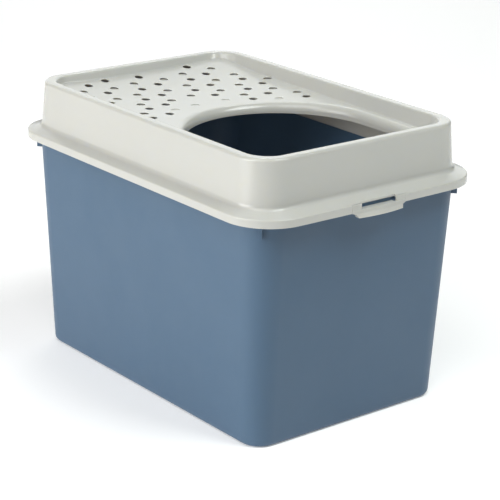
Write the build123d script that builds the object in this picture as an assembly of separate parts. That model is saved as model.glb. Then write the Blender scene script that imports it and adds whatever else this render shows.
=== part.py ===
from build123d import *
from math import atan, cos, degrees, hypot, radians, sin
import os

os.makedirs("parts", exist_ok=True)

# overall size: Y runs from the entry end (-) to the perforated end (+), Z up
length = 572.0
width = 395.0
height = 397.0
half_x = width / 2
half_y = length / 2
skirt_r = 64.0

# plastic and the gaps between pieces
wall = 2.4
rim_gap = 1.9
hinge_gap = 0.35
hook_gap = 0.4

# levels, all tied to the overall height
lid_tall = 81.782
skirt_low = height - lid_tall
skirt_high = skirt_low + 10.55
collar_low = skirt_high + 6.45
rim_top = collar_low - 4.2
rim_low = skirt_low + 3.8
rim_break = rim_top - 4.4

# tub body, set in from the skirt by these amounts at the floor
base_inset_x = 33.575
base_inset_y = 38.324
base_x = half_x - base_inset_x
base_y = half_y - base_inset_y
draft = 0.04635
base_r = 30.0
mouth_r_loss = 24.0
mouth_r = skirt_r - mouth_r_loss
base_round = 8.0
rim_x = half_x - wall - rim_gap
bow = 2.37
skirt_y = half_y - bow
rim_y = skirt_y - wall - rim_gap
rim_slope_inset_x = 14.1
rim_slope_inset_y = 19.5
rim_slope_x = half_x - rim_slope_inset_x
rim_slope_y = half_y - rim_slope_inset_y
rim_round = 1.0

# ribs under the rim
rib_drop = 19.2
rib_reach = 8.5
rib_thick = 4.5

# lid body
skirt_round = 2.0
collar_inset_x = 21.8
collar_inset_y = 27.8
collar_r_loss = 20.0
collar_r = skirt_r - collar_r_loss
collar_x = half_x - collar_inset_x
collar_y = half_y - collar_inset_y
collar_flare = 3.8
collar_blend = 7.0
crest_round = 4.5
crest_inner_round = 3.5

# entry funnel and tread
crest_width = 14.2
funnel_lean = 0.5
crest_r_loss = 11.0
funnel_r = collar_r - crest_r_loss
funnel_r_loss = 0.6
tread_drop = 22.0
tread_dish_r = 2000.0
tread_fall = 0.012
tread_rise = 60.0
tread_mid_y = half_y - 156.16
lip_low = height - 35.7
roll_r = 11.0
entry_corner_r = 25.0
entry_near = 8.0
entry_side = 13.435
entry_run = 120.91
entry_r = collar_x - crest_width - funnel_lean * tread_drop - entry_side
entry_front = collar_y - crest_width - funnel_lean * (height - lip_low) - entry_near
entry_mid_y = entry_run - entry_front
tread_fillet = 3.0

# pull tabs
tab_half = 46.0
tab_half_waist = 40.6
tab_half_low = 37.8
window_half = 30.3
window_deep = 5.0
tab_drop = 6.2
tab_low_out = 3.0
tab_top_bulge = 1.5
tab_mid_bulge = 3.2
tab_low_bulge = 5.0
pivot_r = wall / 2
pivot_y = half_y - pivot_r
notch_top = skirt_high + 0.45
pivot_z = notch_top - 0.2 - pivot_r
lip_top = rim_low - hook_gap
hook_half = 28.0
hook_reach = 1.6
hook_thick = 2.0


def plate(hx, hy, r, z, bulge=0.0):
    # flat rounded rectangle whose two short sides can bow outwards
    right = Line((hx, -hy), (hx, hy))
    left = Line((-hx, hy), (-hx, -hy))
    if bulge > 0:
        back = ThreePointArc((hx, hy), (0, hy + bulge), (-hx, hy))
        front = ThreePointArc((-hx, -hy), (0, -hy - bulge), (hx, -hy))
    else:
        back = Line((hx, hy), (-hx, hy))
        front = Line((-hx, -hy), (hx, -hy))
    face = make_face([right, back, left, front])
    return Pos(0, 0, z) * fillet(face.vertices(), r)


def tower(*levels):
    # straight-sided body through two outlines
    return loft([f.face() for f in levels], ruled=True)


def edges_at(solid, z, inside=None):
    # edges that lie in one level, optionally only those short of the outer wall
    found = []
    for e in solid.edges():
        b = e.bounding_box()
        if abs(b.min.Z - z) > 0.02 or abs(b.max.Z - z) > 0.02:
            continue
        c = e.center()
        reach = max(abs(c.X) / half_x, abs(c.Y) / half_y)
        if inside is not None and reach > inside:
            continue
        found.append(e)
    return found


def tub_plate(z, inset, r):
    grow = draft * z - inset
    return plate(base_x + grow, base_y + grow, r - inset, z)


# tub
shell = tower(tub_plate(0, 0, base_r), tub_plate(rim_top, 0, mouth_r))
shell = fillet(edges_at(shell, 0), base_round)

hollow = tower(tub_plate(wall, wall, base_r), tub_plate(rim_top + 1, wall, mouth_r))
hollow = fillet(edges_at(hollow, wall), base_round - wall)

rim_r = skirt_r - wall - rim_gap
rim = tower(plate(rim_x, rim_y, rim_r, rim_low), plate(rim_x, rim_y, rim_r, rim_break))
rim += tower(plate(rim_x, rim_y, rim_r, rim_break), plate(rim_slope_x, rim_slope_y, rim_r - 9, rim_top))
rim = fillet(edges_at(rim, rim_break), rim_round)
groove = tower(
    plate(rim_x - wall, rim_y - wall, rim_r - wall, rim_low - 1),
    plate(rim_x - wall, rim_y - wall, rim_r - wall, rim_break - 1.6),
)
groove += tower(
    plate(rim_x - wall, rim_y - wall, rim_r - wall, rim_break - 1.6),
    plate(rim_slope_x - 1, rim_slope_y - 1, rim_r - 10, rim_top - 2.8),
)
groove -= shell

# one radial rib under the rim at each corner
rib_low = skirt_low - rib_drop
rib_high = rim_break - rim_round
mid = draft * rib_low
corner_x = base_x + mid - mouth_r
corner_y = base_y + mid - mouth_r
ribs = []
for sx in (-1, 1):
    for sy in (-1, 1):
        turn = degrees(atan(1)) * sx * sy + (0 if sx > 0 else 180)
        block = Box(rib_reach + 4, rib_thick, rib_high - rib_low)
        place = Pos(sx * corner_x, sy * corner_y, (rib_low + rib_high) / 2) * Rot(0, 0, turn)
        ribs.append(place * Pos(mouth_r + rib_reach / 2 - 2, 0, 0) * block)

tub = shell + rim - groove + ribs - hollow


# lid
def lid_plate(inset, z):
    return plate(half_x - inset, skirt_y - inset, skirt_r - inset, z, bow)


def collar_plate(z, inset):
    # the collar leans in as it rises
    t = (height - z) / (height - collar_low)
    grow = collar_flare * t - inset
    return plate(collar_x + grow, collar_y + grow, collar_r - inset, z)


outer = tower(lid_plate(0, skirt_low), lid_plate(0, skirt_high))
outer += tower(lid_plate(0, skirt_high), collar_plate(collar_low, 0))
outer += tower(collar_plate(collar_low, 0), collar_plate(height, 0))
outer = fillet(edges_at(outer, skirt_high), skirt_round)
outer = fillet(edges_at(outer, collar_low), collar_blend)
outer = fillet(edges_at(outer, height), crest_round)

under = tower(lid_plate(wall, skirt_low - 1), lid_plate(wall, rim_break - 0.2))
under += tower(
    lid_plate(wall, rim_break - 0.2),
    plate(rim_slope_x + 1.1, rim_slope_y + 1.1, rim_r - 8, rim_top),
)
cap = height - wall
collar_void = tower(collar_plate(rim_top - 1, wall), collar_plate(cap, wall))
collar_void = fillet(edges_at(collar_void, cap), crest_round - wall)
under += collar_void


def funnel(grow, low, high):
    # tapering space inside the crest
    side = grow * hypot(1, funnel_lean)
    faces = []
    for z in (low, high):
        lean = funnel_lean * (height - z)
        hx = collar_x - crest_width - lean + side
        hy = collar_y - crest_width - lean + side
        faces.append(plate(hx, hy, funnel_r - funnel_r_loss * lean + grow, z))
    return tower(*faces)


def tread_z(x, y):
    # shallow dish that falls towards the entry and rises again at the far end
    near = min(max((y / half_y + 0.1) / 1.1, 0), 1)
    dish = x * x / (2 * tread_dish_r) * (1 - 0.55 * near * near)
    rise = tread_rise * max(y / half_y - 0.3, 0) ** 3
    return height - tread_drop + tread_fall * (y - tread_mid_y) + dish + rise


def tread(drop):
    # everything below the dished tread, with the entry cut out and its edge rolled over
    rows = []
    for i in range(-4, 5):
        x = i * half_x / 4
        row = [Vector(x, j * half_y / 8, tread_z(x, j * half_y / 8) - drop) for j in range(-8, 9)]
        rows.append(row)
    top = Face.make_surface_from_array_of_points(rows)
    block = extrude(top, 80, (0, 0, -1))
    r = entry_r + drop
    front = entry_front + drop
    run = front + entry_mid_y
    slot = Pos(0, entry_mid_y) * Circle(r) - Pos(0, entry_mid_y - r) * Rectangle(2 * r, 2 * r)
    slot += Pos(0, entry_mid_y - run / 2) * Rectangle(2 * r, run)
    corners = [v for v in slot.vertices() if v.Y < 1 - front]
    slot = fillet(corners, entry_corner_r + drop)
    block -= Pos(0, 0, height - 120) * extrude(slot, 200)
    rolled = []
    for e in block.edges():
        b = e.bounding_box()
        far = max(abs(b.min.X), abs(b.max.X)) / half_x, max(abs(b.min.Y), abs(b.max.Y)) / half_y
        if max(far) < 0.95 and b.min.Z > height - 60:
            rolled.append(e)
    return fillet(rolled, roll_r - drop)


def foot(solid, grow):
    # round the valley where the funnel's wall meets the tread
    edge = roll_r + 0.5
    found = []
    for e in solid.edges():
        b = e.bounding_box()
        c = e.position_at(0.5)
        if b.min.Z < lip_low + 8 or b.max.Z > height - 8:
            continue
        beside = abs(c.X) > entry_r + edge
        before = c.Y < -entry_front - edge
        behind = c.Y > entry_mid_y and hypot(c.X, c.Y - entry_mid_y) > entry_r + edge
        if beside or before or behind:
            found.append(e)
    return fillet(found, tread_fillet + grow)


tray = foot(funnel(0, lip_low - 1, height + 3) - tread(0), 0)
skin = foot(funnel(wall, lip_low, height + 3) - tread(wall), wall)
lid = outer - (under - skin) - tray

# inner edge of the crest
lid = fillet(edges_at(lid, height, inside=0.94), crest_inner_round)

# perforated tread: two round holes and two crescents, repeated on a slanting grid
hole_r = 6.2
crescent_r = 6.3
crescent_wide = 3.1
ramp_deep = 1.3
hole_wall = 0.8
relief = 1.6
step_across = 77.14
step_along = 51.98
across = radians(-30.7)
along = radians(-120.1)
grid_x = half_x - 119.29
grid_y = half_y - 55.25
kinds = (
    (0.0, 0.0, "round"),
    (0.332, 0.502, "round"),
    (-0.126, 0.568, "crescent"),
    (0.473, 0.071, "crescent"),
)
field_x = collar_x - 26.7
field_y = collar_y - 26.2
field_r = 75.0
entry_keep = 18.0
shallow_within = 42.0


def entry_space(x, y):
    # how far a point lies from the edge of the entry
    if y > entry_mid_y:
        return hypot(x, y - entry_mid_y) - entry_r
    return abs(x) - entry_r


def in_field(x, y):
    # inside the tread's rounded outline, clear of the entry's rolled edge and of its plain middle
    dx = max(abs(x) - (field_x - field_r), 0)
    dy = max(abs(y) - (field_y - field_r), 0)
    if hypot(dx, dy) > field_r:
        return False
    if abs(x) > field_x - 10 and y < 60:
        return False
    space = entry_space(x, y)
    if space < entry_keep:
        return False
    return not (abs(x) < 12 and space < 60)


def ramp(deep):
    # round dish whose floor falls away to one side
    fall = degrees(atan(deep / (2 * crescent_r - crescent_wide)))
    below = Pos(0, -crescent_r, 0) * Rot(-fall, 0, 0) * Pos(0, 0, -10) * Box(60, 60, 20)
    return Cylinder(crescent_r, 12) - below


thin = Pos(0, 0, -hole_wall - 5) * Cylinder(hole_r + relief, 10)
round_tool = Cylinder(hole_r, 12) + thin
tongue = Pos(0, -crescent_wide, 0) * Cylinder(crescent_r, 40)
thin = Pos(0, 0, -hole_wall - 5) * Cylinder(crescent_r + relief, 10)
thin &= Pos(0, 25, 0) * Box(60, 50, 60)
crescent_tool = ramp(ramp_deep) + (Cylinder(crescent_r, 12) + thin - tongue)
tools = {"round": round_tool, "crescent": crescent_tool, "shallow": ramp(0.5 * ramp_deep)}

drills = []
for i in range(-6, 7):
    for j in range(-8, 12):
        for across_part, along_part, kind in kinds:
            u = (i + across_part) * step_across
            v = (j + along_part) * step_along
            x = grid_x + u * cos(across) + v * cos(along)
            y = grid_y + u * sin(across) + v * sin(along)
            if not in_field(x, y):
                continue
            if kind == "crescent" and entry_space(x, y) < shallow_within:
                kind = "shallow"
            slope = degrees(atan((tread_z(x, y + 1) - tread_z(x, y - 1)) / 2))
            turn = 0 if kind == "round" else degrees(across)
            place = Pos(x, y, tread_z(x, y)) * Rot(slope, 0, 0) * Rot(0, 0, turn)
            drills.append(place * tools[kind])
lid -= drills

# notch in each short side where the pull tab sits
notch_deep = half_y - wall - hinge_gap
for sy in (-1, 1):
    notch = Box(2 * (tab_half + hinge_gap), 20, notch_top - skirt_low + 5)
    lid -= Pos(0, sy * (notch_deep + 10), (skirt_low - 5 + notch_top) / 2) * notch
    slot = Box(2 * window_half, 20, 16)
    lid -= Pos(0, sy * (half_y - window_deep + 10), skirt_high) * slot


# pull tabs
def bay(half, back, front, bulge, z):
    # plan of the tab's lip: straight back, bowed front
    a = (-half, -front)
    b = (half, -front)
    bowed = ThreePointArc(a, (0, -front - bulge), b)
    rest = Polyline(b, (half, -back), (-half, -back), a)
    return Pos(0, 0, z) * make_face([bowed, rest])


tab_low = skirt_low - tab_drop
tab_mid = skirt_low - 0.9
tab_back = half_y - wall
levels = (
    (tab_low, tab_low_out, tab_low_bulge),
    (tab_mid, 0.6, tab_mid_bulge),
    (lip_top, 0.0, tab_top_bulge),
)
lip = []
pocket = []
pocket_half = tab_half_low - wall
for low, high in zip(levels[:-1], levels[1:]):
    lip.append(tower(*[bay(tab_half, tab_back, half_y + out, bulge, z) for z, out, bulge in (low, high)]))
    cuts = []
    for z, out, bulge in (low, high):
        sunk = {tab_low: -1.0, lip_top: -wall}.get(z, 0.0)
        cuts.append(bay(pocket_half, tab_back - 3, tab_back + out, bulge, z + sunk))
    pocket.append(tower(*cuts))
lip = lip[0] + lip[1]
pocket = pocket[0] + pocket[1]
tab = lip - pocket
post_wide = tab_half - window_half
for sx in (-1, 1):
    tall = pivot_z - lip_top + 1
    post = Pos(0, 0, pivot_z - tall / 2) * Box(post_wide, wall, tall)
    post += Pos(0, 0, pivot_z) * Rot(0, 90, 0) * Cylinder(pivot_r, post_wide)
    tab += Pos(sx * (window_half + post_wide / 2), -pivot_y, 0) * post
hook_tip = rim_y - hook_reach
hook = Box(2 * hook_half, tab_back + 0.5 - hook_tip, hook_thick)
tab += Pos(0, -(tab_back + 0.5 + hook_tip) / 2, lip_top - hook_thick / 2) * hook
trim = Polyline(
    (-tab_half, pivot_z + 5),
    (-tab_half, skirt_low - 0.3),
    (-tab_half_waist, skirt_low - 1.7),
    (-tab_half_low, tab_low),
    (tab_half_low, tab_low),
    (tab_half_waist, skirt_low - 1.7),
    (tab_half, skirt_low - 0.3),
    (tab_half, pivot_z + 5),
    close=True,
)
trim = extrude(Plane.XZ * make_face(trim), 2 * length, both=True)
latch_front = tab & trim
latch_rear = Rot(0, 0, 180) * latch_front

pieces = {
    "tub": tub,
    "lid": lid,
    "latch_front": latch_front,
    "latch_rear": latch_rear,
}
for name, body in pieces.items():
    solids = body.solids()
    print(name, len(solids), round(body.volume / 1000, 1), "cm3")
    body.label = name
    export_step(body, f"parts/{name}.step")
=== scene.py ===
import math

import bpy
from mathutils import Matrix, Vector

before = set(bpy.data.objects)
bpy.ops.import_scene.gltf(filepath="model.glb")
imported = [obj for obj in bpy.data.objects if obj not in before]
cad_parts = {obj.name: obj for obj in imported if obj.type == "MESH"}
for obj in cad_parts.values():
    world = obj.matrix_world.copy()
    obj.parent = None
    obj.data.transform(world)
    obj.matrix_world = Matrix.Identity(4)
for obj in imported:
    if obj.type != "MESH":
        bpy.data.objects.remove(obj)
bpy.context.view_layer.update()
bpy.ops.object.select_all(action="DESELECT")
print("frame loaded:", ", ".join(sorted(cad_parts)))

# camera, at the photograph's viewing angle

cameraPlace = {
    "azimuth": -39.202,  # degrees, seen from above
    "elevation": 19.296,
    "roll": 1.408,
    "position": (-1.53076, -1.90273, 1.03060),  # metres
    "lens": 130.87,  # mm on a 36 mm sensor
}


def addCamera(place):
    a = math.radians(place["azimuth"])
    e = math.radians(place["elevation"])
    r = math.radians(place["roll"])
    back = Vector((math.sin(a) * math.cos(e), -math.cos(a) * math.cos(e), math.sin(e)))
    right = Vector((0, 0, 1)).cross(back).normalized()
    up = back.cross(right)
    tiltedRight = right * math.cos(r) + up * math.sin(r)
    tiltedUp = up * math.cos(r) - right * math.sin(r)
    bpy.ops.object.camera_add()
    camera = bpy.context.object
    camera.name = "photoCamera"
    turn = Matrix((tiltedRight, tiltedUp, back)).transposed().to_4x4()
    camera.matrix_world = Matrix.Translation(place["position"]) @ turn
    camera.data.sensor_width = 36
    camera.data.lens = place["lens"]
    camera.data.clip_start = 0.05
    camera.data.clip_end = 60
    bpy.context.scene.camera = camera


addCamera(cameraPlace)
print("camera placed")

# studio: pale floor, big soft lights

studio = {
    "floorSize": 30.0,
    "floorTone": (0.90, 0.90, 0.90),
    "floorGlow": 0.2,
    "worldTone": (0.96, 1.0, 0.98),
    "worldStrength": 0.03,
}

softboxes = {  # name: place, what it points at, size, power in watts, colour
    "leftBox": ((-3.0, 0.2, 1.5), (0, 0, 0.25), (2.6, 2.0), 48.0, (1.0, 0.99, 0.97)),
    "lowBox": ((-3.0, 0.6, 0.6), (0, 0, 0.2), (2.4, 1.0), 42.0, (1.0, 0.99, 0.97)),
    "topBox": ((-1.5, -0.9, 2.7), (0, 0, 0.3), (1.8, 1.8), 36.0, (1.0, 1.0, 1.0)),
    "highBox": ((0.8, -1.5, 2.8), (0, 0, 0.3), (1.6, 1.6), 68.0, (0.96, 1.0, 0.98)),
    "backBox": ((1.7, 2.6, 1.5), (0, 0, 0.35), (4.4, 2.2), 42.0, (0.98, 1.0, 0.99)),
    "stripBox": ((1.4, 1.6, 2.5), (0, 0, 0.35), (0.9, 0.25), 7.0, (1.0, 1.0, 1.0)),
    "insideBox": ((0.0, 0.0, 0.012), (0, 0, 1.0), (0.28, 0.44), 0.3, (1.0, 0.84, 0.72)),
}


def addSoftbox(name, place, aim, size, power, tone):
    bpy.ops.object.light_add(type="AREA", location=place)
    light = bpy.context.object
    light.name = name
    light.data.shape = "RECTANGLE"
    light.data.size, light.data.size_y = size
    light.data.energy = power
    light.data.color = tone
    light.visible_camera = False
    light.rotation_euler = (Vector(aim) - Vector(place)).to_track_quat("-Z", "Y").to_euler()


def addStudio():
    bpy.ops.mesh.primitive_plane_add(size=studio["floorSize"], location=(0, 0, 0))
    floor = bpy.context.object
    floor.name = "studioFloor"
    paper = bpy.data.materials.new("studioPaper")
    paper.use_nodes = True
    shader = paper.node_tree.nodes["Principled BSDF"]
    shader.inputs["Base Color"].default_value = (*studio["floorTone"], 1)
    shader.inputs["Roughness"].default_value = 0.9
    shader.inputs["Emission Color"].default_value = (1, 1, 1, 1)
    shader.inputs["Emission Strength"].default_value = studio["floorGlow"]
    floor.data.materials.append(paper)
    world = bpy.data.worlds.new("studioAir")
    world.use_nodes = True
    sky = world.node_tree.nodes["Background"]
    sky.inputs["Color"].default_value = (*studio["worldTone"], 1)
    sky.inputs["Strength"].default_value = studio["worldStrength"]
    bpy.context.scene.world = world
    for name, values in softboxes.items():
        addSoftbox(name, *values)
    bpy.context.scene.view_settings.view_transform = "Standard"


addStudio()
print("studio lit")

# effects that both plastics share, each a node group with named sockets


def newGroup(name, numbers, colours, outputs):
    group = bpy.data.node_groups.new(name, "ShaderNodeTree")
    for label, value in colours.items():
        socket = group.interface.new_socket(label, in_out="INPUT", socket_type="NodeSocketColor")
        socket.default_value = (*value, 1)
    for label, value in numbers.items():
        socket = group.interface.new_socket(label, in_out="INPUT", socket_type="NodeSocketFloat")
        socket.default_value = value
    for label, kind in outputs.items():
        group.interface.new_socket(label, in_out="OUTPUT", socket_type=kind)
    start = group.nodes.new("NodeGroupInput")
    end = group.nodes.new("NodeGroupOutput")
    return group, start, end


def mathNode(tree, kind, first, second):
    node = tree.nodes.new("ShaderNodeMath")
    node.operation = kind
    for slot, value in zip(node.inputs, (first, second)):
        if isinstance(value, (int, float)):
            slot.default_value = value
        else:
            tree.links.new(value, slot)
    return node.outputs[0]


def noiseNode(tree, vector, scale, detail=3.0, roughness=0.55):
    node = tree.nodes.new("ShaderNodeTexNoise")
    node.inputs["Detail"].default_value = detail
    node.inputs["Roughness"].default_value = roughness
    tree.links.new(vector, node.inputs["Vector"])
    if isinstance(scale, (int, float)):
        node.inputs["Scale"].default_value = scale
    else:
        tree.links.new(scale, node.inputs["Scale"])
    return node.outputs["Fac"]


def rangeNode(tree, value, fromLow, fromHigh, toLow, toHigh):
    node = tree.nodes.new("ShaderNodeMapRange")
    labels = ("From Min", "From Max", "To Min", "To Max")
    tree.links.new(value, node.inputs["Value"])
    for label, number in zip(labels, (fromLow, fromHigh, toLow, toHigh)):
        if isinstance(number, (int, float)):
            node.inputs[label].default_value = number
        else:
            tree.links.new(number, node.inputs[label])
    return node.outputs["Result"]


def mixColours(tree, amount, first, second):
    node = tree.nodes.new("ShaderNodeMix")
    node.data_type = "RGBA"
    tree.links.new(amount, node.inputs["Factor"])
    tree.links.new(first, node.inputs["A"])
    tree.links.new(second, node.inputs["B"])
    return node.outputs["Result"]


def buildResinTone():
    # slow cloudy drift between two close tones, drawn out along the way the plastic flowed
    group, start, end = newGroup(
        "resinTone",
        {"Cloud Scale": 5.0, "Drift": 1.0},
        {"Tone": (0.5, 0.5, 0.5), "Drift Tone": (0.5, 0.5, 0.5)},
        {"Colour": "NodeSocketColor"},
    )
    place = group.nodes.new("ShaderNodeTexCoord")
    stretch = group.nodes.new("ShaderNodeMapping")
    stretch.inputs["Scale"].default_value = (1.0, 0.6, 0.45)
    group.links.new(place.outputs["Object"], stretch.inputs["Vector"])
    cloud = noiseNode(group, stretch.outputs["Vector"], start.outputs["Cloud Scale"], 4.0)
    amount = rangeNode(group, cloud, 0.35, 0.65, 0.0, start.outputs["Drift"])
    mixed = mixColours(group, amount, start.outputs["Tone"], start.outputs["Drift Tone"])
    group.links.new(mixed, end.inputs["Colour"])
    return group


def buildMouldSkin():
    # what the steel leaves on the plastic: a fine even grain over long shallow waves
    group, start, end = newGroup(
        "mouldSkin",
        {"Grain Scale": 900.0, "Grain Height": 0.02, "Wave Scale": 9.0, "Wave Height": 0.3,
         "Gloss": 0.4, "Gloss Spread": 0.05},
        {},
        {"Height": "NodeSocketFloat", "Roughness": "NodeSocketFloat"},
    )
    place = group.nodes.new("ShaderNodeTexCoord")
    where = place.outputs["Object"]
    grain = noiseNode(group, where, start.outputs["Grain Scale"], 2.0)
    wave = noiseNode(group, where, start.outputs["Wave Scale"], 1.0)
    grainHeight = mathNode(group, "MULTIPLY", grain, start.outputs["Grain Height"])
    waveHeight = mathNode(group, "MULTIPLY", wave, start.outputs["Wave Height"])
    height = mathNode(group, "ADD", grainHeight, waveHeight)
    patch = noiseNode(group, where, 14.0, 4.0)
    lowest = mathNode(group, "SUBTRACT", start.outputs["Gloss"], start.outputs["Gloss Spread"])
    highest = mathNode(group, "ADD", start.outputs["Gloss"], start.outputs["Gloss Spread"])
    roughness = rangeNode(group, patch, 0.3, 0.7, lowest, highest)
    group.links.new(height, end.inputs["Height"])
    group.links.new(roughness, end.inputs["Roughness"])
    return group


def buildEdgeRubAndHighlight():
    # 0 on open faces, towards 1 on outer edges, broken up so that no line runs unbroken; the lighter edge
    # tone it drives is partly rub and partly a painted edge highlight
    group, start, end = newGroup(
        "edgeRubAndHighlight",
        {"Reach": 0.0015, "Amount": 1.0},
        {},
        {"Mask": "NodeSocketFloat"},
    )
    rounded = group.nodes.new("ShaderNodeBevel")
    rounded.samples = 6
    group.links.new(start.outputs["Reach"], rounded.inputs["Radius"])
    plain = group.nodes.new("ShaderNodeNewGeometry")
    turn = group.nodes.new("ShaderNodeVectorMath")
    turn.operation = "DOT_PRODUCT"
    group.links.new(rounded.outputs["Normal"], turn.inputs[0])
    group.links.new(plain.outputs["Normal"], turn.inputs[1])
    edge = rangeNode(group, turn.outputs["Value"], 1.0, 0.75, 0.0, 1.0)
    place = group.nodes.new("ShaderNodeTexCoord")
    broken = noiseNode(group, place.outputs["Object"], 60.0, 5.0, 0.7)
    patchy = rangeNode(group, broken, 0.35, 0.6, 0.35, 1.0)
    mask = mathNode(group, "MULTIPLY", edge, patchy)
    mask = mathNode(group, "MULTIPLY", mask, start.outputs["Amount"])
    group.links.new(mask, end.inputs["Mask"])
    return group


def buildHandling():
    # faint scuffs from use, in a band that starts at one height and fades out by another
    group, start, end = newGroup(
        "handling",
        {"Full At": 0.0, "Gone At": 0.03, "Amount": 0.5},
        {},
        {"Mask": "NodeSocketFloat"},
    )
    place = group.nodes.new("ShaderNodeTexCoord")
    axes = group.nodes.new("ShaderNodeSeparateXYZ")
    group.links.new(place.outputs["Object"], axes.inputs["Vector"])
    band = rangeNode(group, axes.outputs["Z"], start.outputs["Gone At"], start.outputs["Full At"], 0.0, 1.0)
    stretch = group.nodes.new("ShaderNodeMapping")
    stretch.inputs["Scale"].default_value = (1.0, 1.0, 6.0)
    group.links.new(place.outputs["Object"], stretch.inputs["Vector"])
    scuff = noiseNode(group, stretch.outputs["Vector"], 45.0, 6.0, 0.75)
    marks = rangeNode(group, scuff, 0.52, 0.72, 0.0, 1.0)
    mask = mathNode(group, "MULTIPLY", band, marks)
    mask = mathNode(group, "MULTIPLY", mask, start.outputs["Amount"])
    group.links.new(mask, end.inputs["Mask"])
    return group


effects = {
    "tone": buildResinTone(),
    "skin": buildMouldSkin(),
    "rubAndHighlight": buildEdgeRubAndHighlight(),
    "handling": buildHandling(),
}
print("effect groups built:", len(effects))

# blue tub: satin, slightly grained

tubFinish = {
    "tone": (0.056, 0.107, 0.174),
    "driftTone": (0.062, 0.114, 0.183),
    # lighter edge colour: partly rub, partly a painted edge highlight
    "rubAndHighlightTone": (0.14, 0.20, 0.28),
    "scuffTone": (0.12, 0.175, 0.24),
    "cloudScale": 4.0,
    "grainScale": 1300.0,
    "grainHeight": 0.05,
    "waveScale": 7.0,
    "waveHeight": 0.5,
    "gloss": 0.46,
    "glossSpread": 0.05,
    "rubAndHighlightAmount": 0.25,
    "scuffFrom": 0.0,
    "scuffTo": 0.035,
    "scuffAmount": 0.25,
    "coat": 0.0,
    "coatGloss": 0.12,
    "specular": 0.45,
    "depthWeight": 0.3,
    "depthScale": 0.004,
    "depthTone": (0.6, 0.75, 1.0),
}

# warm white lid and latches: smooth, lets a little light through

lidFinish = {
    "tone": (0.475, 0.475, 0.446),
    "driftTone": (0.462, 0.466, 0.440),
    # lighter edge colour: partly rub, partly a painted edge highlight
    "rubAndHighlightTone": (0.54, 0.54, 0.52),
    "scuffTone": (0.40, 0.39, 0.37),
    "cloudScale": 5.0,
    "grainScale": 1700.0,
    "grainHeight": 0.015,
    "waveScale": 6.0,
    "waveHeight": 0.08,
    "gloss": 0.23,
    "glossSpread": 0.02,
    "rubAndHighlightAmount": 0.12,
    "scuffFrom": 0.372,
    "scuffTo": 0.386,
    "scuffAmount": 0.05,
    "coat": 0.2,
    "coatGloss": 0.05,
    "specular": 0.5,
    "depthWeight": 0.7,  # share of the light that travels inside the plastic
    "depthScale": 0.003,
    "depthTone": (1.0, 0.9, 0.65),
}


def addEffect(tree, effect, values):
    node = tree.nodes.new("ShaderNodeGroup")
    node.node_tree = effects[effect]
    node.name = effect
    for label, value in values.items():
        node.inputs[label].default_value = (*value, 1) if isinstance(value, tuple) else value
    return node


def plasticMaterial(name, finish):
    material = bpy.data.materials.new(name)
    material.use_nodes = True
    tree = material.node_tree
    shader = tree.nodes["Principled BSDF"]
    tone = addEffect(tree, "tone", {
        "Tone": finish["tone"], "Drift Tone": finish["driftTone"],
        "Cloud Scale": finish["cloudScale"], "Drift": 1.0,
    })
    skin = addEffect(tree, "skin", {
        "Grain Scale": finish["grainScale"], "Grain Height": finish["grainHeight"],
        "Wave Scale": finish["waveScale"], "Wave Height": finish["waveHeight"],
        "Gloss": finish["gloss"], "Gloss Spread": finish["glossSpread"],
    })
    rubAndHighlight = addEffect(tree, "rubAndHighlight", {"Reach": 0.0015, "Amount": finish["rubAndHighlightAmount"]})
    handling = addEffect(tree, "handling", {
        "Full At": finish["scuffFrom"], "Gone At": finish["scuffTo"], "Amount": finish["scuffAmount"],
    })
    rubAndHighlightTone = tree.nodes.new("ShaderNodeRGB")
    rubAndHighlightTone.outputs[0].default_value = (*finish["rubAndHighlightTone"], 1)
    scuffTone = tree.nodes.new("ShaderNodeRGB")
    scuffTone.outputs[0].default_value = (*finish["scuffTone"], 1)
    colour = mixColours(tree, handling.outputs["Mask"], tone.outputs["Colour"], scuffTone.outputs[0])
    # outer edges mixed towards the lighter edge tone: rub plus a painted edge highlight
    colour = mixColours(tree, rubAndHighlight.outputs["Mask"], colour, rubAndHighlightTone.outputs[0])
    tree.links.new(colour, shader.inputs["Base Color"])
    dulled = mathNode(tree, "MULTIPLY", handling.outputs["Mask"], 0.25)
    roughness = mathNode(tree, "ADD", skin.outputs["Roughness"], dulled)
    tree.links.new(roughness, shader.inputs["Roughness"])
    bump = tree.nodes.new("ShaderNodeBump")
    bump.inputs["Strength"].default_value = 1.0
    bump.inputs["Distance"].default_value = 0.001
    tree.links.new(skin.outputs["Height"], bump.inputs["Height"])
    tree.links.new(bump.outputs["Normal"], shader.inputs["Normal"])
    shader.inputs["IOR"].default_value = 1.49
    shader.inputs["Specular IOR Level"].default_value = finish["specular"]
    shader.inputs["Coat Weight"].default_value = finish["coat"]
    shader.inputs["Coat Roughness"].default_value = finish["coatGloss"]
    shader.inputs["Subsurface Weight"].default_value = finish["depthWeight"]
    shader.inputs["Subsurface Scale"].default_value = finish["depthScale"]
    shader.inputs["Subsurface Radius"].default_value = finish["depthTone"]
    return material


finishes = {
    "tub": plasticMaterial("satinBluePlastic", tubFinish),
    "lid": plasticMaterial("warmWhitePlastic", lidFinish),
}
finishOf = {"tub": "tub", "lid": "lid", "latch_front": "lid", "latch_rear": "lid"}
for nodeName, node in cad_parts.items():
    for index in range(len(node.material_slots)):
        node.material_slots[index].material = finishes[finishOf[nodeName]]
print("finishes on", len(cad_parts), "nodes")
